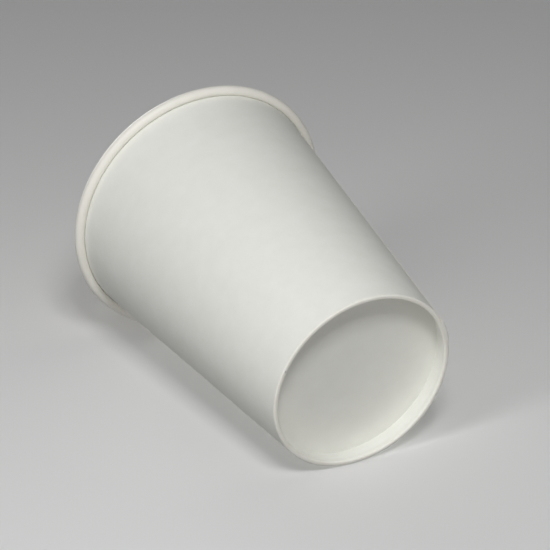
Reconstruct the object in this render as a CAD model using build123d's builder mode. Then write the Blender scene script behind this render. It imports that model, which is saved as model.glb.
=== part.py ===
from build123d import *
import os
from math import asin, atan2, cos, degrees, hypot, radians, sin, tan

# Paper hot cup of single-wall board, standing on its base.  Millimetres, +Z up along the
# cup's axis; the origin is the centre of the standing edge's plane.
# Two pieces of board make the cup:
#   sidewall   one fan-shaped blank, wrapped round and sealed along a lap seam, its top
#              rolled outwards into the rim and its foot folded in and up behind the base
#   base_disc  one round blank with its edge turned down into a skirt, sealed between the
#              wall and the wall's folded foot

# ---- Overall sizes ----
cup_height = 112.0
rim_diameter = 90.0  # across the outside of the rolled rim
base_diameter = 61.0  # across the outside of the standing edge

# ---- Boards and the seal between them ----
wall_board = 0.38
base_board = 0.30
seal_gap = 0.05  # room left for the sealed coating between two boards

# ---- Rolled rim ----
curl_diameter = 3.3
curl_first_turn = 300.0  # degrees rolled at the full diameter, measured from the wall
curl_tuck_turn = 95.0  # degrees rolled further, inside the first turn
curl_gap = 0.04  # between the roll and the wall that it comes back to

# ---- Base ----
foot_bend = 0.6  # outside radius of the bends on both sides of the standing edge
foot_slack = 0.45  # how much wider the folded foot's loop is than the boards pressed together
slack_top = 2.6  # height at which the fold comes to lie flat on the skirt
recess_depth = 6.5  # standing edge to the underside of the base disc, at the disc's edge
base_dome = 1.2  # how far the middle of the disc bows up into the cup
dome_flat = 8.0  # radius of the level middle of that dome
base_bend = 0.22  # inside radius where the disc turns down into its skirt
fold_stop = 0.03  # from the folded foot's cut edge to the start of that bend

# ---- Lap seam ----
seam_azimuth = 218.0  # degrees from +X to the blank's outer cut edge
lap_width = 7.0  # measured at the standing edge
ramp_width = 1.6  # where the outer ply comes down beside the inner ply's cut edge

# ---- Wall slant ----
# The wall runs straight from the foot and meets the first turn of the rim as a tangent.
base_radius = base_diameter / 2
curl_radius = curl_diameter / 2
curl_centre_r = rim_diameter / 2 - curl_radius
curl_centre_z = cup_height - curl_radius
lean_in = curl_centre_r - base_radius
outer_face_offset = curl_radius - wall_board
slant = atan2(lean_in, curl_centre_z) - asin(outer_face_offset / hypot(lean_in, curl_centre_z))
up_the_wall = (sin(slant), cos(slant))


def wall_point(depth, height):
    """Point of the section that lies this deep behind the wall's outer face, at this height."""
    return (base_radius + height * tan(slant) - depth / cos(slant), height)


def curl_point(radius):
    """Point where the wall meets the rim's first turn, at this radius about the roll's centre."""
    return (curl_centre_r - radius * cos(slant), curl_centre_z + radius * sin(slant))


def section_plane(azimuth):
    """Upright half-plane through the cup's axis: local x points outwards, local y up."""
    outwards = (cos(radians(azimuth)), sin(radians(azimuth)), 0)
    sideways = (sin(radians(azimuth)), -cos(radians(azimuth)), 0)
    return Plane(origin=(0, 0, 0), x_dir=outwards, z_dir=sideways)


# ---- Places that follow from the sizes, as depths behind the wall's outer face ----
skirt_outer_depth = wall_board + seal_gap
skirt_inner_depth = skirt_outer_depth + base_board
fold_outer_depth = skirt_inner_depth + seal_gap
fold_inner_depth = fold_outer_depth + wall_board
skirt_foot = wall_board + seal_gap  # height of the skirt's cut edge
fold_top = recess_depth - base_bend - fold_stop
lap_top = curl_centre_z - outer_face_offset  # where the rim's roll closes over the lap

# The tucked end of the roll keeps curl_gap from the wall's outer face.  Its centre lies on
# the line from the roll's centre to the point where the first turn ends.
tuck_direction = radians(180 - degrees(slant) - curl_first_turn)
tuck_shift = (cos(tuck_direction), sin(tuck_direction))
shift_off_wall = tuck_shift[0] * cos(slant) - tuck_shift[1] * sin(slant)
tuck_radius = curl_radius - (wall_board + curl_gap) / (1 + shift_off_wall)

lap_angle = degrees(lap_width / base_radius)
ramp_angle = degrees(ramp_width / base_radius)
inner_edge_azimuth = seam_azimuth + lap_angle
ramp_end_azimuth = inner_edge_azimuth + ramp_angle


def seam_point(azimuth, depth, height):
    """Point of the wall in space."""
    radius, height = wall_point(depth, height)
    return Vector(radius * cos(radians(azimuth)), radius * sin(radians(azimuth)), height)


def ramp_plane(low_depth, high_depth):
    """Plane up which one face climbs from low_depth, at the ramp's end, to high_depth, at the
    inner ply's cut edge.  Its normal points away from the cup's axis."""
    foot = seam_point(ramp_end_azimuth, low_depth, 0)
    head = seam_point(ramp_end_azimuth, low_depth, curl_centre_z)
    raised = seam_point(inner_edge_azimuth, high_depth, 0)
    normal = (raised - foot).cross(head - foot)
    if normal.dot(Vector(foot.X, foot.Y, 0)) < 0:
        normal = -normal
    return Plane(origin=foot, x_dir=head - foot, z_dir=normal)


# ---- Sidewall ----
# Both sections of the lap start in the middle of the standing edge and of the board they lie on.
middle_of_edge = fold_inner_depth / 2

# The outer ply of the lap, on the outside of the wall: a square cut edge at the seam
# azimuth, and a ramp down to the single wall at the other side.
with BuildPart() as lap_outside:
    with BuildSketch(section_plane(seam_azimuth)) as lap_section:
        with BuildLine():
            Polyline(
                wall_point(middle_of_edge, 0),
                wall_point(wall_board / 2, wall_board),
                wall_point(wall_board / 2, lap_top),
                wall_point(-wall_board, lap_top),
                wall_point(-wall_board, 0),
                close=True,
            )
        make_face()
        lap_foot = lap_section.vertices().group_by(Axis.Y)[0].sort_by(Axis.X)[-1]
        fillet(lap_foot, radius=foot_bend)
    revolve(axis=Axis.Z, revolution_arc=lap_angle + ramp_angle)
    split(bisect_by=ramp_plane(0, -wall_board), keep=Keep.BOTTOM)

# The same ply where it is folded up inside the base.
raised_in_fold = fold_inner_depth + wall_board
middle_of_fold = fold_outer_depth + wall_board / 2
with BuildPart() as lap_in_fold:
    with BuildSketch(section_plane(seam_azimuth)) as fold_lap_section:
        with BuildLine():
            Polyline(
                wall_point(middle_of_edge, 0),
                wall_point(middle_of_fold + foot_slack, wall_board),
                wall_point(middle_of_fold, slack_top),
                wall_point(middle_of_fold, fold_top),
                wall_point(raised_in_fold, fold_top),
                wall_point(raised_in_fold, slack_top),
                wall_point(raised_in_fold + foot_slack, 0),
                close=True,
            )
        make_face()
        lap_foot = fold_lap_section.vertices().group_by(Axis.Y)[0].sort_by(Axis.X)[0]
        fillet(lap_foot, radius=foot_bend)
    revolve(axis=Axis.Z, revolution_arc=lap_angle + ramp_angle)
    split(bisect_by=ramp_plane(fold_inner_depth, raised_in_fold), keep=Keep.TOP)

# The groove left inside the cup between the inner ply's cut edge and the outer ply's ramp.
with BuildPart() as lap_groove:
    with BuildSketch(section_plane(inner_edge_azimuth)):
        with BuildLine():
            Polyline(
                wall_point(0, wall_board),
                wall_point(0, curl_centre_z),
                wall_point(2 * wall_board, curl_centre_z),
                wall_point(2 * wall_board, wall_board),
                close=True,
            )
        make_face()
    revolve(axis=Axis.Z, revolution_arc=ramp_angle)
    split(bisect_by=ramp_plane(wall_board, 0), keep=Keep.BOTTOM)

# The board's section: folded foot, standing edge, wall and rolled rim in one strip.
with BuildPart() as sidewall:
    with BuildSketch(section_plane(0)) as board_section:
        with BuildLine():
            Polyline(
                curl_point(outer_face_offset),
                wall_point(0, 0),
                wall_point(fold_inner_depth + foot_slack, 0),
                wall_point(fold_inner_depth, slack_top),
                wall_point(fold_inner_depth, fold_top),
                wall_point(fold_outer_depth, fold_top),
                wall_point(fold_outer_depth, slack_top),
                wall_point(fold_outer_depth + foot_slack, wall_board),
                wall_point(wall_board, wall_board),
                curl_point(curl_radius),
            )
            outer_turn = JernArc(curl_point(curl_radius), up_the_wall, curl_radius, -curl_first_turn)
            outer_tuck = JernArc(outer_turn @ 1, outer_turn % 1, tuck_radius, -curl_tuck_turn)
            inner_turn = JernArc(
                curl_point(outer_face_offset), up_the_wall, outer_face_offset, -curl_first_turn
            )
            inner_tuck = JernArc(
                inner_turn @ 1, inner_turn % 1, tuck_radius - wall_board, -curl_tuck_turn
            )
            Line(outer_tuck @ 1, inner_tuck @ 1)
        make_face()
        fillet(board_section.vertices().group_by(Axis.Y)[0], radius=foot_bend)
    revolve(axis=Axis.Z)
    add(lap_outside.part)
    add(lap_in_fold.part)
    add(lap_groove.part, mode=Mode.SUBTRACT)

# ---- Base disc ----
underside_edge = wall_point(skirt_inner_depth, recess_depth)
top_edge = wall_point(skirt_outer_depth, recess_depth + base_board)


def dome_turn(edge):
    """Angle of the shallow arc from the level middle to this point of the disc's edge."""
    return 2 * degrees(atan2(base_dome, edge[0] - dome_flat))


def dome_radius(edge):
    """Radius of that arc."""
    return ((edge[0] - dome_flat) ** 2 + base_dome**2) / (2 * base_dome)


with BuildPart() as base_disc:
    with BuildSketch(section_plane(0)) as disc_section:
        with BuildLine():
            underside = JernArc(
                (dome_flat, underside_edge[1] + base_dome),
                (1, 0),
                dome_radius(underside_edge),
                -dome_turn(underside_edge),
            )
            top_face = JernArc(
                (dome_flat, top_edge[1] + base_dome), (1, 0), dome_radius(top_edge), -dome_turn(top_edge)
            )
            Polyline(
                underside @ 1,
                wall_point(skirt_inner_depth, skirt_foot),
                wall_point(skirt_outer_depth, skirt_foot),
                top_face @ 1,
            )
            Polyline(
                underside @ 0,
                (0, underside_edge[1] + base_dome),
                (0, top_edge[1] + base_dome),
                top_face @ 0,
            )
        make_face()
        inside_of_bend = disc_section.vertices().group_by(Axis.Y)[1].sort_by(Axis.X)[-1]
        fillet(inside_of_bend, radius=base_bend)
        outside_of_bend = disc_section.vertices().sort_by(Axis.X)[-1]
        fillet(outside_of_bend, radius=base_bend + base_board)
    revolve(axis=Axis.Z)

# ---- One file for each piece ----
sidewall.part.label = "sidewall"
base_disc.part.label = "base_disc"

os.makedirs("parts", exist_ok=True)
export_step(sidewall.part, "parts/sidewall.step")
export_step(base_disc.part, "parts/base_disc.step")

print(f"wall slant {degrees(slant):.2f} degrees, tucked turn's radius {tuck_radius:.3f} mm")
for piece in (sidewall.part, base_disc.part):
    print(piece.label, f"{piece.volume:.1f} mm3, {len(piece.solids())} solid(s)")
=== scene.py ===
from math import asin, atan2, cos, degrees, hypot, pi, radians, sin, tan

import bpy
from mathutils import Matrix, Vector


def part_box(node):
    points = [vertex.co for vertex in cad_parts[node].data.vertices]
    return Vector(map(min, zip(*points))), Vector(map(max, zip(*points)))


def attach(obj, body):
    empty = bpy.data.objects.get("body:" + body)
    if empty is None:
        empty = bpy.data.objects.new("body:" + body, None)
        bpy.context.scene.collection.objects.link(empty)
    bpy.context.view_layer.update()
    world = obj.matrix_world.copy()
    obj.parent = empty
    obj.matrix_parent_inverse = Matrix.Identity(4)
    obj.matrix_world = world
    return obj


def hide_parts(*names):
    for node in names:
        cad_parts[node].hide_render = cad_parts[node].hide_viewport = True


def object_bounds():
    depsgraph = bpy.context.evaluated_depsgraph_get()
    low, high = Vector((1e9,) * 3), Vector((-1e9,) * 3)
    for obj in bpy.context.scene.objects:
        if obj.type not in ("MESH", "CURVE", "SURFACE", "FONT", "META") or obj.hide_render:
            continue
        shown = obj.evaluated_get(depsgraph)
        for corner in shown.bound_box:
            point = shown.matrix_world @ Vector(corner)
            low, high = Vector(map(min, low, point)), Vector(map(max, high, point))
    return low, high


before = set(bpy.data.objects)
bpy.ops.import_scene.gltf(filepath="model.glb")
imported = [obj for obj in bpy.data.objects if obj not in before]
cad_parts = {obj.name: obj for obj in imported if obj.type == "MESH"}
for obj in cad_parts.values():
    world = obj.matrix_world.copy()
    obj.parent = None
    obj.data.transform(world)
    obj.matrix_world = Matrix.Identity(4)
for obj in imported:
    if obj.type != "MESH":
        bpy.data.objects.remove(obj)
cad_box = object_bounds()

# ---- Side wall ----
# One fan-shaped blank of white uncoated cup board, lined on its drinking side, wrapped into a cone and
# heat-sealed along a lap.  Its top is rolled outwards into the rim, and its foot is folded in and up
# behind the base disc's skirt, where a knurled wheel presses the fold home.
cup_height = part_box("sidewall")[1].z
rim_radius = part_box("sidewall")[1].x
standing_radius = 0.0305
wall_board = 0.00038
base_board = 0.00030
seal_gap = 0.00005  # left for the sealed lining between two boards
roll_radius = 0.00165
roll_first_turn = 300.0  # degrees rolled at the full radius
roll_tuck_turn = 95.0  # degrees rolled further, inside the first turn
roll_gap = 0.00004  # between the roll and the wall that it comes back to
recess_depth = 0.0065  # standing edge to the base disc's underside, at the disc's edge
disc_bend = 0.00022  # inside radius where the disc turns down into its skirt
fold_stop = 0.00003  # from the fold's cut edge up to where the disc bends down

roll_centre = (rim_radius - roll_radius, cup_height - roll_radius)
roll_inner = roll_radius - wall_board
lean_in = roll_centre[0] - standing_radius
slant = atan2(lean_in, roll_centre[1]) - asin(roll_inner / hypot(lean_in, roll_centre[1]))
wall_up = 180 - degrees(slant)  # where on the roll's circle the wall runs into it
tuck_start = radians(wall_up - roll_first_turn)
off_wall = cos(tuck_start) * cos(slant) - sin(tuck_start) * sin(slant)
tuck_radius = roll_radius - (wall_board + roll_gap) / (1 + off_wall)
tuck_centre = (
    roll_centre[0] + (roll_radius - tuck_radius) * cos(tuck_start),
    roll_centre[1] + (roll_radius - tuck_radius) * sin(tuck_start),
)

skirt_outer_depth = wall_board + seal_gap
skirt_inner_depth = skirt_outer_depth + base_board
fold_outer_depth = skirt_inner_depth + seal_gap
fold_inner_depth = fold_outer_depth + wall_board
fold_top = recess_depth - disc_bend - fold_stop
fold_lip = recess_depth + 0.00002  # the cut edge is pressed up against the disc on this side
fold_press = 0.3  # how much of the lap's thickness the knurling wheel leaves in the fold
foot_bend = 0.0006  # outside radius of the foot's two bends
foot_slack = 0.00045  # how far the foot's loop stands wider than the boards pressed together above it
slack_height = 0.0022  # over which the loop closes, above the bends


def wall_point(depth, height):
    """Radius and height of the point this deep behind the wall's outer face."""
    return (standing_radius + height * tan(slant) - depth / cos(slant), height)


def smooth(share):
    """0 to 1 with level ends."""
    share = min(1.0, max(0.0, share))
    return share * share * (3 - 2 * share)


def arc(centre, radius, start, turn, steps):
    """Points of a clockwise arc, both ends included; angles in degrees."""
    angles = [radians(start - turn * i / steps) for i in range(steps + 1)]
    return [(centre[0] + radius * cos(a), centre[1] + radius * sin(a)) for a in angles]


lap_head = roll_centre[1] - roll_inner  # where the roll closes over the lap
lap_ease = 0.0003  # height over which the lap goes down to nothing there
groove_loss, groove_steps = 0.6, 12  # share of the seam's groove that the roll closes, over its first steps
top_row = 0.0002  # height of the mesh rows beside the roll
low_start = 0.004  # height below which the wall's rows are closer again
bend_row = 0.0002  # from the foot's bends up to the next row


def board_section(proud, sunk):
    """The board's section as (radius, height, face) from the roll's tucked end down the bare face, round
    the foot, up the fold and back along the lined face.  proud is how far the lap's outer ply stands off
    the wall, and sunk how deep the lined face lies in the groove beside the inner ply's edge."""
    section = []

    def add(points, face):
        section.extend((*point, face) for point in points)

    def up_wall(depth, heights, face):
        add([wall_point(depth(height), height) for height in heights], face)

    add(reversed(arc(tuck_centre, tuck_radius - wall_board, degrees(tuck_start), roll_tuck_turn, 8)), "bare")
    add(reversed(arc(roll_centre, roll_inner, wall_up, roll_first_turn, 16)[:-1]), "bare")
    top = [roll_centre[1] - top_row * i for i in range(1, 12)]
    middle = [top[-1] + (low_start - top[-1]) * i / 34 for i in range(1, 35)]
    low = [low_start + (foot_bend + bend_row - low_start) * i / 5 for i in range(1, 6)]
    up_wall(lambda z: -proud * (1 - smooth((z - lap_head) / lap_ease + 1)), top + middle + low, "bare")
    outer_bend = wall_point(foot_bend - proud, foot_bend)
    add(arc(outer_bend, foot_bend, -degrees(slant), 90 - degrees(slant), 8), "bare")
    pressed = fold_inner_depth + proud * fold_press
    inner_bend = wall_point(pressed + foot_slack - foot_bend, foot_bend)
    add(arc(inner_bend, foot_bend, -90, 90 + degrees(slant), 8), "bare")
    fold = [foot_bend + bend_row + (fold_top - foot_bend - bend_row) * i / 13 for i in range(14)]
    up_wall(lambda z: pressed + foot_slack * (1 - smooth((z - foot_bend) / slack_height)), fold, "bare")
    up_wall(lambda z: pressed, [fold_lip], "bare")
    up_wall(lambda z: fold_outer_depth, [fold_top], "cut")
    up_wall(lambda z: fold_outer_depth, [wall_board], "lined")
    up_wall(lambda z: wall_board, [wall_board, recess_depth / 2], "lined")
    inside = [recess_depth + (roll_centre[1] - recess_depth) * i / 24 for i in range(24)]
    up_wall(lambda z: wall_board - sunk, inside, "lined")
    for i, point in enumerate(arc(roll_centre, roll_radius, wall_up, roll_first_turn, 44)[:-1]):
        share = 1 - sunk * (1 - groove_loss * smooth(i / groove_steps)) / roll_radius
        add([tuple(c + (p - c) * share for c, p in zip(roll_centre, point))], "lined")
    add(arc(tuck_centre, tuck_radius, degrees(tuck_start), roll_tuck_turn, 14), "lined")
    section[-1] = (*section[-1][:2], "cut")
    return section


# Columns of the mesh round the cup, as (degrees, proud, sunk, cut edge up to the next column).  The
# outer ply's cut edge stands at the seam; past the lap that ply comes down to the single wall.
seam_azimuth = 218.0
lap_width = 0.007
ramp_width = 0.0016  # where the outer ply comes down beside the inner ply's cut edge
lap_angle = degrees(lap_width / standing_radius)
ramp_angle = degrees(ramp_width / standing_radius)
column_step = 0.72  # degrees
cut_turn, full_turn = 0.05, 0.2  # degrees from the seam to the head of its cut edge, and to the full ply
ramp_end = lap_angle + ramp_angle
columns = [(0.0, 0.0, 0.0, "bare"), (cut_turn, 0.93, 0.0, None), (full_turn, 1.0, 0.0, None)]
lap_steps = round(lap_angle / column_step)
lap_column = (lap_angle - full_turn - cut_turn) / lap_steps
columns += [(full_turn + lap_column * i, 1.0, 0.0, None) for i in range(1, lap_steps)]
columns += [(lap_angle - cut_turn, 1.0, 0.0, "lined")]
columns += [(lap_angle + ramp_angle * i / 8, 1 - smooth(i / 8), 1 - smooth(i / 8), None) for i in range(9)]
wall_steps = round((360 - ramp_end) / column_step)
columns += [(ramp_end + (360 - ramp_end) * i / wall_steps, 0.0, 0.0, None) for i in range(1, wall_steps)]

knurl_pitch = 0.0015
knurl_count = round(2 * pi * (standing_radius - fold_inner_depth) / knurl_pitch)
knurl_depth = 0.00008
knurl_foot, knurl_head = 0.0007, fold_top - 0.0003  # heights between which the wheel presses
knurl_start, knurl_fade = 0.0006, 0.0038  # heights over which its marks begin and die away
held_height = 0.03  # up to which the base disc holds the wall round
# Slow waves left round the wall, as (height of the wave, waves round, phase, twist up the wall).
forming_waves = (
    (0.00005, 2, 0.9, 0),
    (0.000035, 3, 2.2, 9),
    (0.000014, 7, 0.4, -14),
    (0.000006, 13, 1.7, 31),
)


def forming(azimuth, height, in_fold):
    """How far forming leaves the board off its true radius, at this place."""
    turn = radians(azimuth)
    slack = smooth(height / held_height) * sum(
        size * sin(count * turn + phase + twist * height) for size, count, phase, twist in forming_waves
    )
    if not in_fold:
        return slack
    pressed = smooth((height - knurl_foot) / knurl_start) * smooth((knurl_head - height) / knurl_fade)
    bar = 0.5 + 0.5 * cos(knurl_count * turn)
    grip = 0.6 + 0.2 * sin(5 * turn + 1.1) + 0.2 * sin(29 * turn + 0.6) * sin(11 * turn)
    return slack + knurl_depth * pressed * bar * grip


def mesh_of(name, verts, faces, finishes, finish_of_face, sharp_angle):
    """A smooth-shaded mesh object, its faces sharp where they meet at more than sharp_angle."""
    mesh = bpy.data.meshes.new(name)
    mesh.from_pydata(verts, [], faces)
    for finish in finishes:
        mesh.materials.append(finish)
    mesh.polygons.foreach_set("material_index", finish_of_face)
    mesh.polygons.foreach_set("use_smooth", [True] * len(faces))
    mesh.set_sharp_from_angle(angle=radians(sharp_angle))
    piece = bpy.data.objects.new(name, mesh)
    bpy.context.scene.collection.objects.link(piece)
    return piece


def mark(piece, name, kind, values):
    """Stores values over the piece's points for its finish to read."""
    attribute = piece.data.attributes.new(name, kind, "POINT")
    attribute.data.foreach_set("vector" if kind == "FLOAT_VECTOR" else "value", values)


def new_group(name, inputs, outputs):
    """An empty node group; inputs and outputs are (socket name, type, default)."""
    group = bpy.data.node_groups.new(name, "ShaderNodeTree")
    for in_out, sockets in (("INPUT", inputs), ("OUTPUT", outputs)):
        for label, kind, default in sockets:
            socket = group.interface.new_socket(name=label, in_out=in_out, socket_type="NodeSocket" + kind)
            if default is not None:
                socket.default_value = default
    return group, group.nodes.new("NodeGroupInput"), group.nodes.new("NodeGroupOutput")


def add_node(tree, kind, links=None, **settings):
    """Adds a node; links gives its inputs, by name or number, as a value or another node's output."""
    node = tree.nodes.new("ShaderNode" + kind)
    for name, value in settings.items():
        setattr(node, name, value)
    for name, value in (links or {}).items():
        if isinstance(value, bpy.types.NodeSocket):
            tree.links.new(value, node.inputs[name])
        else:
            node.inputs[name].default_value = value
    return node


def maths(tree, operation, *values, clamp=False):
    """Output of a Math node on these values."""
    node = add_node(tree, "Math", dict(enumerate(values)), operation=operation, use_clamp=clamp)
    return node.outputs[0]


def blend(tree, share, first, second):
    """Output of a colour mix; share is how much of the second colour shows."""
    return add_node(tree, "Mix", {0: share, 6: first, 7: second}, data_type="RGBA").outputs[2]


# Board fibre: a felt of crossing fibres, the cloudiness of the sheet behind it, and stray dark specks.
fibre, fibre_in, fibre_out = new_group(
    "Board Fibre",
    [("Place", "Vector", None), ("Fibre Width", "Float", 0.00008), ("Cloud Size", "Float", 0.006)],
    [("Relief", "Float", None), ("Cloud", "Float", None), ("Speck", "Float", None)],
)
place, fibre_width = fibre_in.outputs["Place"], fibre_in.outputs["Fibre Width"]
across = maths(fibre, "DIVIDE", 1.0, fibre_width)
felt = None
for lie, length_share in ((12, 0.16), (71, 0.22), (133, 0.19)):
    turn_to = {"Vector": place, "Angle": radians(lie)}
    turned = add_node(fibre, "VectorRotate", turn_to, rotation_type="Z_AXIS")
    along = maths(fibre, "MULTIPLY", across, length_share)
    scale = add_node(fibre, "CombineXYZ", {"X": along, "Y": across, "Z": across})
    laid = add_node(fibre, "VectorMath", {0: turned.outputs[0], 1: scale.outputs[0]}, operation="MULTIPLY")
    noise = add_node(
        fibre, "TexNoise",
        {"Vector": laid.outputs[0], "Scale": 1.0, "Detail": 2.0, "Distortion": 0.6},
    )
    off_middle = maths(fibre, "ABSOLUTE", maths(fibre, "MULTIPLY_ADD", noise.outputs[0], 2.0, -1.0))
    strand = maths(fibre, "POWER", maths(fibre, "SUBTRACT", 1.0, off_middle), 3.0)
    felt = strand if felt is None else maths(fibre, "MAXIMUM", felt, strand)
cloud_scale = maths(fibre, "DIVIDE", 1.0, fibre_in.outputs["Cloud Size"])
cloud = add_node(fibre, "TexNoise", {"Vector": place, "Scale": cloud_scale, "Detail": 4.0, "Roughness": 0.6})
grain = add_node(
    fibre, "TexNoise",
    {"Vector": place, "Scale": maths(fibre, "MULTIPLY", across, 0.14), "Detail": 3.0, "Roughness": 0.7},
)
spots = add_node(
    fibre, "TexVoronoi",
    {"Vector": place, "Scale": maths(fibre, "MULTIPLY", cloud_scale, 1.3), "Randomness": 1.0},
)
speck = add_node(
    fibre, "MapRange",
    {"Value": spots.outputs["Distance"], "From Min": 0.035, "From Max": 0.02, "To Min": 0.0, "To Max": 1.0},
)
relief = maths(fibre, "MULTIPLY_ADD", felt, 0.45, maths(fibre, "MULTIPLY", grain.outputs[0], 0.55))
fibre.links.new(relief, fibre_out.inputs["Relief"])
fibre.links.new(cloud.outputs[0], fibre_out.inputs["Cloud"])
fibre.links.new(speck.outputs[0], fibre_out.inputs["Speck"])

# Foot tone patches: breaks the mask of a faint warm brown darkening where the cup stands into patches.
foot_patches, foot_patches_in, foot_patches_out = new_group(
    "Foot Tone Patches",
    [("Place", "Vector", None), ("Where", "Float", 0.0), ("Patch Size", "Float", 0.003)],
    [("Foot Share", "Float", None)],
)
patches = add_node(
    foot_patches, "TexNoise",
    {
        "Vector": foot_patches_in.outputs["Place"],
        "Scale": maths(foot_patches, "DIVIDE", 1.0, foot_patches_in.outputs["Patch Size"]),
        "Detail": 5.0,
        "Roughness": 0.65,
    },
)
broken = add_node(
    foot_patches, "MapRange",
    {"Value": patches.outputs[0], "From Min": 0.35, "From Max": 0.65, "To Min": 0.35, "To Max": 1.0},
)
foot_share = maths(foot_patches, "MULTIPLY", broken.outputs[0], foot_patches_in.outputs["Where"], clamp=True)
foot_patches.links.new(foot_share, foot_patches_out.inputs["Foot Share"])


def board_finish(name, white, shade, foot_tone_tint, rough, specular, relief_height, fibre_size, face):
    """A finish of the board.  white and shade are its two tints, rough its least and most roughness,
    relief_height how far the fibres stand up, and face keeps one face's fibres off the other's."""
    speck_tint, speck_strength = (0.42, 0.38, 0.30, 1.0), 0.10
    finish = bpy.data.materials.new(name)
    finish.use_nodes = True
    tree = finish.node_tree
    shader = tree.nodes["Principled BSDF"]
    place = add_node(tree, "Attribute", attribute_name="board_place")
    foot_tone = add_node(tree, "Attribute", attribute_name="foot_tone")
    moved = add_node(tree, "VectorMath", {0: place.outputs["Vector"], 1: (0.0, 0.0, face)}, operation="ADD")
    fibres = add_node(tree, "Group", node_tree=fibre)
    fibres.inputs["Fibre Width"].default_value = fibre_size
    tree.links.new(moved.outputs[0], fibres.inputs["Place"])
    patched = add_node(tree, "Group", node_tree=foot_patches)
    tree.links.new(moved.outputs[0], patched.inputs["Place"])
    tree.links.new(foot_tone.outputs["Fac"], patched.inputs["Where"])
    cloudy = add_node(
        tree, "MapRange",
        {"Value": fibres.outputs["Cloud"], "From Min": 0.3, "From Max": 0.7, "To Min": 0.0, "To Max": 1.0},
    )
    tint = blend(tree, cloudy.outputs[0], (*white, 1.0), (*shade, 1.0))
    speck_share = maths(tree, "MULTIPLY", fibres.outputs["Speck"], speck_strength)
    flecked = blend(tree, speck_share, tint, speck_tint)
    # A faint warm brown darkening of the board at the cup's foot, in patches.
    foot_toned = blend(tree, patched.outputs["Foot Share"], flecked, (*foot_tone_tint, 1.0))
    tree.links.new(foot_toned, shader.inputs["Base Color"])
    relief_span = {"From Min": 0.3, "From Max": 0.8, "To Min": rough[1], "To Max": rough[0]}
    roughness = add_node(tree, "MapRange", {"Value": fibres.outputs["Relief"], **relief_span})
    tree.links.new(roughness.outputs[0], shader.inputs["Roughness"])
    bump = add_node(tree, "Bump", {"Height": fibres.outputs["Relief"], "Distance": relief_height})
    tree.links.new(bump.outputs[0], shader.inputs["Normal"])
    shader.inputs["Specular IOR Level"].default_value = specular
    return finish


bare_board = board_finish(
    "bare_board",
    white=(0.845, 0.850, 0.805),
    shade=(0.818, 0.821, 0.772),
    foot_tone_tint=(0.78, 0.70, 0.57),
    rough=(0.72, 0.90),
    specular=0.2,
    relief_height=0.00002,
    fibre_size=0.00008,
    face=0.0,
)
lined_board = board_finish(
    "lined_board",
    white=(0.866, 0.850, 0.785),
    shade=(0.846, 0.829, 0.760),
    foot_tone_tint=(0.80, 0.74, 0.62),
    rough=(0.40, 0.54),
    specular=0.4,
    relief_height=0.000007,
    fibre_size=0.00010,
    face=0.5,
)
cut_board = board_finish(
    "cut_board",
    white=(0.80, 0.775, 0.70),
    shade=(0.72, 0.685, 0.60),
    foot_tone_tint=(0.66, 0.56, 0.42),
    rough=(0.85, 0.97),
    specular=0.25,
    relief_height=0.00004,
    fibre_size=0.00005,
    face=0.9,
)

unrolled_radius = 0.036  # at which the wall's fibres are laid out flat
fold_skin = 0.0001  # points this far in from the fold's lined face are on its bare face
foot_tone_share, foot_tone_start, foot_tone_height = 0.25, 0.0001, 0.0008  # how strongly the foot is darkened to warm brown, and up to what height
wall_verts, wall_places, wall_foot_tone = [], [], []
for around, proud, sunk, _ in columns:
    azimuth = seam_azimuth + around
    turn = radians(azimuth)
    section = board_section(proud * wall_board, sunk * wall_board)
    run = 0.0
    last = section[0]
    for radius, height, face in section:
        run += hypot(radius - last[0], height - last[1])
        last = (radius, height)
        in_fold = height < recess_depth and radius < wall_point(fold_outer_depth, height)[0] - fold_skin
        at = radius + forming(azimuth, height, in_fold)
        wall_verts.append((at * cos(turn), at * sin(turn), height))
        wall_places.extend((radians(around) * unrolled_radius, run, 0.0))
        # Mask of a faint warm brown darkening at the foot, fading out above the standing edge.
        wall_foot_tone.append(foot_tone_share * (1 - smooth((height - foot_tone_start) / foot_tone_height)))
row_faces = [face for _, _, face in section]
row_count, column_count = len(row_faces), len(columns)
finish_number = {"bare": 0, "lined": 1, "cut": 2}
wall_faces, wall_finish = [], []
for i in range(column_count):
    here, there = i * row_count, (i + 1) % column_count * row_count
    for j in range(row_count):
        k = (j + 1) % row_count
        wall_faces.append((here + j, here + k, there + k, there + j))
        face = row_faces[k] if row_faces[k] == "cut" else row_faces[j]
        if columns[i][3] == row_faces[j] and row_faces[j] != "cut":
            face = "cut"
        wall_finish.append(finish_number[face])
finishes = (bare_board, lined_board, cut_board)
sharp_angle = 40  # degrees; more than any rounded part turns between two faces, less than a cut edge
cup_wall = mesh_of("cup_wall", wall_verts, wall_faces, finishes, wall_finish, sharp_angle)
mark(cup_wall, "board_place", "FLOAT_VECTOR", wall_places)
mark(cup_wall, "foot_tone", "FLOAT", wall_foot_tone)
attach(cup_wall, "root")
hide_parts("sidewall")

# ---- Base disc ----
# A round blank of lighter board, lined on its upper side, with its edge drawn down into a skirt.
# It is pushed up inside the wall and sealed between the wall and the wall's folded foot.
disc_top = recess_depth + base_board
disc_outer_bend = disc_bend + base_board
skirt_foot = wall_board + seal_gap
disc_dome = 0.0012  # how far the middle bows up into the cup
dome_flat = 0.008  # radius of the dome's level middle


def domed(radius, edge, height):
    """Radius and height of a face's point; the face is at this height where its bend starts."""
    share = max(0.0, radius - dome_flat) / (edge - dome_flat)
    return (radius, height + disc_dome * (1 - share * share))


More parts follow.
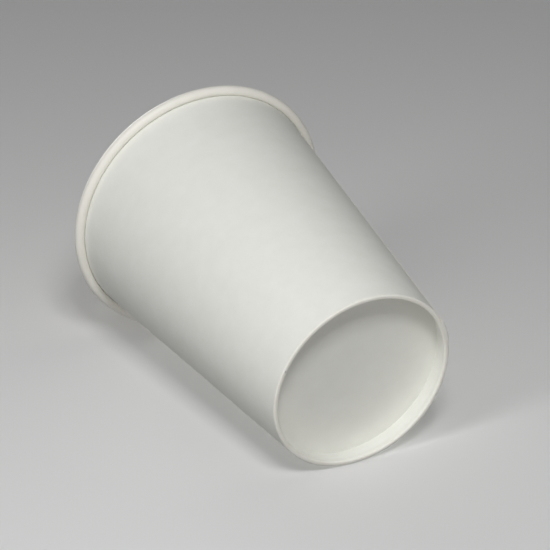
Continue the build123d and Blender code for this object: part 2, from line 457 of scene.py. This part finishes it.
def disc_section():
    """The disc's section as (radius, height, face), from the middle of its lined top face round to the
    middle of its bare underside."""
    bend_turn = 90 + degrees(slant)
    outer_centre = wall_point(skirt_outer_depth + disc_outer_bend, disc_top - disc_outer_bend)
    inner_centre = wall_point(skirt_inner_depth + disc_bend, recess_depth - disc_bend)
    top_edge, under_edge = outer_centre[0], inner_centre[0]
    section = [(*domed(top_edge * i / 24, top_edge, disc_top), "lined") for i in range(1, 24)]
    section += [(*p, "lined") for p in arc(outer_centre, disc_outer_bend, 90, bend_turn, 8)]
    section += [(*wall_point(skirt_outer_depth, z), "lined") for z in (0.003, 0.001)]
    section += [(*wall_point(skirt_outer_depth, skirt_foot), "cut")]
    section += [(*wall_point(skirt_inner_depth, z), "bare") for z in (skirt_foot, 0.003)]
    section += [(*p, "bare") for p in reversed(arc(inner_centre, disc_bend, 90, bend_turn, 8))]
    section += [(*domed(under_edge * i / 36, under_edge, recess_depth), "bare") for i in range(35, 0, -1)]
    return section


base_steps = 360
rings = disc_section()
disc_verts, disc_places = [], []
for i in range(base_steps):
    turn = 2 * pi * i / base_steps
    for radius, height, _ in rings:
        disc_verts.append((radius * cos(turn), radius * sin(turn), height))
        disc_places.extend((radius * cos(turn), radius * sin(turn), 0.0))
for height in (disc_top, recess_depth):
    disc_verts.append((0.0, 0.0, height + disc_dome))
    disc_places.extend((0.0, 0.0, 0.0))
top_middle, under_middle = len(disc_verts) - 2, len(disc_verts) - 1
disc_faces, disc_finish = [], []
for i in range(base_steps):
    here, there = i * len(rings), (i + 1) % base_steps * len(rings)
    disc_faces.append((top_middle, here, there))
    disc_finish.append(finish_number["lined"])
    for j in range(len(rings) - 1):
        disc_faces.append((here + j, here + j + 1, there + j + 1, there + j))
        disc_finish.append(finish_number[rings[j][2]])
    disc_faces.append((here + len(rings) - 1, under_middle, there + len(rings) - 1))
    disc_finish.append(finish_number["bare"])
cup_base = mesh_of("cup_base", disc_verts, disc_faces, finishes, disc_finish, sharp_angle)
mark(cup_base, "board_place", "FLOAT_VECTOR", disc_places)
mark(cup_base, "foot_tone", "FLOAT", [0.0] * len(disc_verts))
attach(cup_base, "root")
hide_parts("base_disc")

# ---- Floors ----
# The cup stands on a level floor, and lies on a second one that touches its rim and its standing
# edge along one side.  Each shows from its upper side only, and neither shades the other's light.


def floor_finish(name, tint, rough, specular):
    """A plain matt finish that is clear when seen from below."""
    finish = bpy.data.materials.new(name)
    finish.use_nodes = True
    tree = finish.node_tree
    shader = tree.nodes["Principled BSDF"]
    shader.inputs["Base Color"].default_value = (*tint, 1.0)
    shader.inputs["Roughness"].default_value = rough
    shader.inputs["Specular IOR Level"].default_value = specular
    side = add_node(tree, "NewGeometry")
    clear = add_node(tree, "BsdfTransparent")
    shown = add_node(
        tree, "MixShader",
        {0: side.outputs["Backfacing"], 1: shader.outputs[0], 2: clear.outputs[0]},
    )
    tree.links.new(shown.outputs[0], tree.nodes["Material Output"].inputs["Surface"])
    return finish


def floor_at(name, point, normal, finish):
    """A wide floor through the point, facing along the normal."""
    half = 6.0
    corners = [(-half, -half, 0), (half, -half, 0), (half, half, 0), (-half, half, 0)]
    mesh = bpy.data.meshes.new(name)
    mesh.from_pydata(corners, [], [(0, 1, 2, 3)])
    mesh.materials.append(finish)
    sheet = bpy.data.objects.new(name, mesh)
    bpy.context.scene.collection.objects.link(sheet)
    sheet.matrix_world = Matrix.Translation(point) @ normal.to_track_quat("Z", "Y").to_matrix().to_4x4()
    sheet.visible_shadow = False
    sheet.visible_diffuse = False
    sheet.visible_glossy = False


floor_grey = floor_finish("floor_grey", tint=(0.74, 0.74, 0.74), rough=0.85, specular=0.05)
floor_at("level_floor", Vector((0, 0, cad_box[0].z)), Vector((0, 0, 1)), floor_grey)

contact_azimuth = radians(337.0)  # side of the cup that the second floor touches
floor_clearance = 0.0001
outwards = Vector((cos(contact_azimuth), sin(contact_azimuth), 0))
lying_tilt = atan2(rim_radius - standing_radius, roll_centre[1])
lying_normal = (-outwards * cos(lying_tilt) + Vector((0, 0, sin(lying_tilt)))).normalized()
touch = outwards * standing_radius - lying_normal * floor_clearance
floor_at("lying_floor", touch, lying_normal, floor_grey)

# ---- Light and camera ----
# The main light is a small soft box in front of the base when the cup lies down, with a broad one
# beside it, a weak one at the wall's edge and two that fill the recess.  Two wide far lights are for the
# standing cup, and a weak even light is all round.
cup_middle = Vector((0, 0, cup_height / 2))
box_distance = 0.75
fill_tint = (1.0, 0.975, 0.945)


def direction(azimuth, elevation):
    """Unit vector towards this azimuth and elevation, both in degrees."""
    turn, rise = radians(azimuth), radians(elevation)
    return Vector((cos(rise) * cos(turn), cos(rise) * sin(turn), sin(rise)))


def add_light(name, kind, azimuth, elevation, **settings):
    """A light in this direction from the cup, facing it."""
    light = bpy.data.lights.new(name, kind)
    for key, value in settings.items():
        setattr(light, key, value)
    lamp = bpy.data.objects.new(name, light)
    bpy.context.scene.collection.objects.link(lamp)
    towards = direction(azimuth, elevation)
    lamp.rotation_mode = "QUATERNION"
    lamp.rotation_quaternion = towards.to_track_quat("Z", "Y")
    lamp.location = cup_middle + towards * box_distance
    lamp.visible_camera = False


add_light("low_box", "AREA", 140.0, -31.0, energy=2.31, shape="RECTANGLE", size=0.18, size_y=0.15)
add_light("side_box", "AREA", 109.0, -13.0, energy=2.24, shape="RECTANGLE", size=0.80, size_y=0.19)
add_light("edge_box", "AREA", 28.0, -8.0, energy=0.40, shape="DISK", size=0.5)
add_light("base_box_near", "AREA", 43.0, -72.0, energy=0.71, shape="DISK", size=0.6, color=fill_tint)
add_light("base_box_far", "AREA", 218.0, -68.0, energy=0.51, shape="DISK", size=0.6, color=fill_tint)
add_light("far_light", "SUN", 298.4, 32.0, energy=2.9, angle=radians(24))
add_light("overhead", "SUN", 299.0, 84.0, energy=1.5, angle=radians(30))

world = bpy.data.worlds.new("studio")
world.use_nodes = True
bpy.context.scene.world = world
room = world.node_tree
room_light = room.nodes["Background"]
room_light.inputs["Color"].default_value = (0.12, 0.12, 0.12, 1.0)
seen = add_node(room, "LightPath")
backdrop = add_node(room, "Background", {"Color": (0.62, 0.62, 0.62, 1.0)})
either = add_node(
    room, "MixShader",
    {0: seen.outputs["Is Camera Ray"], 1: room_light.outputs[0], 2: backdrop.outputs[0]},
)
room.links.new(either.outputs[0], room.nodes["World Output"].inputs["Surface"])
bpy.context.scene.view_settings.view_transform = "Standard"

camera_data = bpy.data.cameras.new("camera")
camera_data.lens = 171.3
camera_data.sensor_width = 36.0
camera = bpy.data.objects.new("camera", camera_data)
bpy.context.scene.collection.objects.link(camera)
aim = Vector((-0.0027, -0.0013, 0.0608))
view_distance = 0.836
back = direction(118.4, -46.6)
across_view = lying_normal.cross(back).normalized()
facing = Matrix((across_view, back.cross(across_view), back)).transposed().to_4x4()
camera.matrix_world = Matrix.Translation(aim + back * view_distance) @ facing
bpy.context.scene.camera = camera
